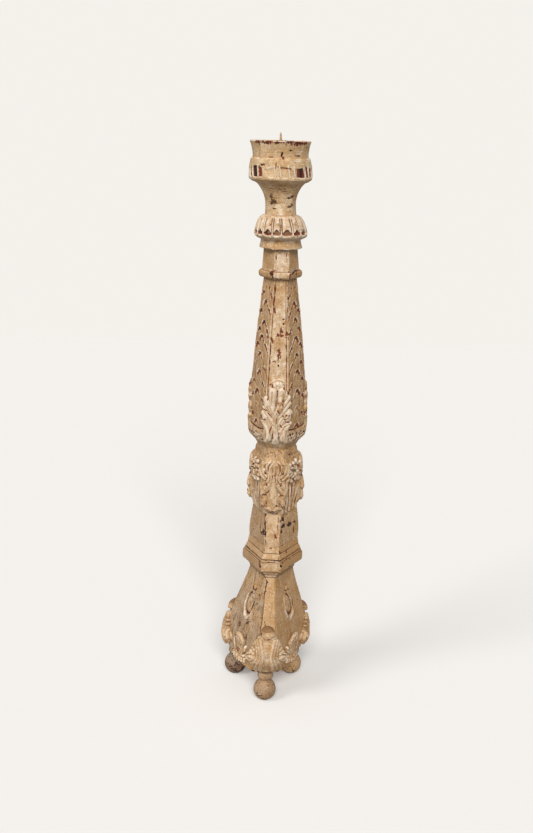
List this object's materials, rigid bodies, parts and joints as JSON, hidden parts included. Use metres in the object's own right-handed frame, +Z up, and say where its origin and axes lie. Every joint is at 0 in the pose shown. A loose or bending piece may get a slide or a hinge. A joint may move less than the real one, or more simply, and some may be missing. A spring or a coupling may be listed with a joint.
{
  "type": "altar candlestick",
  "caption": "Tall carved and painted wooden altar candlestick: turned cup with a pricket, scale-carved three-sided shaft, leafy knop and pyramid base on ball feet.",
  "frame": {"origin": "on the candlestick's axis, in the plane that the three feet stand on", "axes": "+Z up along the axis to the pricket's tip; -Y towards the front corner, the one with the front foot"},
  "size_m": [0.2064, 0.191, 1.203],
  "materials": {
    "painted_wood": "worn matte paint",
    "bare_wood": "raw",
    "painted_iron": "worn paint",
    "bare_iron": "dull, rusted"
  },
  "bodies": {
    "root": {"pricket_spike": "painted_iron", "candle_cup": "painted_wood", "gadrooned_knop": "painted_wood", "flared_collar": "painted_wood", "neck_block": "painted_wood", "ring_moulding": "painted_wood", "main_shaft": "painted_wood", "shaft_leaf_front": "painted_wood", "shaft_leaf_right": "painted_wood", "shaft_leaf_left": "painted_wood", "middle_knop": "painted_wood", "knop_leaf_front": "painted_wood", "knop_leaf_right": "painted_wood", "knop_leaf_left": "painted_wood", "rosette_right": "painted_wood", "rosette_back": "painted_wood", "rosette_left": "painted_wood", "leaf_nails": "bare_iron", "lower_stem": "painted_wood", "collar_moulding": "painted_wood", "collar_slab": "painted_wood", "base_cap": "painted_wood", "face_board_right": "painted_wood", "face_board_back": "painted_wood", "face_board_left": "painted_wood", "corner_strip_front": "painted_wood", "corner_strip_right": "painted_wood", "corner_strip_left": "painted_wood", "bottom_board": "painted_wood", "corner_scroll_front": "painted_wood", "corner_scroll_right": "painted_wood", "corner_scroll_left": "painted_wood", "palmette_front": "painted_wood", "palmette_right": "painted_wood", "palmette_left": "painted_wood", "face_shell_right": "painted_wood", "face_shell_back": "painted_wood", "face_shell_left": "painted_wood", "foot_front": "painted_wood", "foot_right": "painted_wood", "foot_left": "painted_wood", "base_post": "bare_wood", "stem_dowel": "bare_wood", "waist_dowel": "bare_wood", "neck_dowel": "bare_wood"}
  },
  "joints": []
}
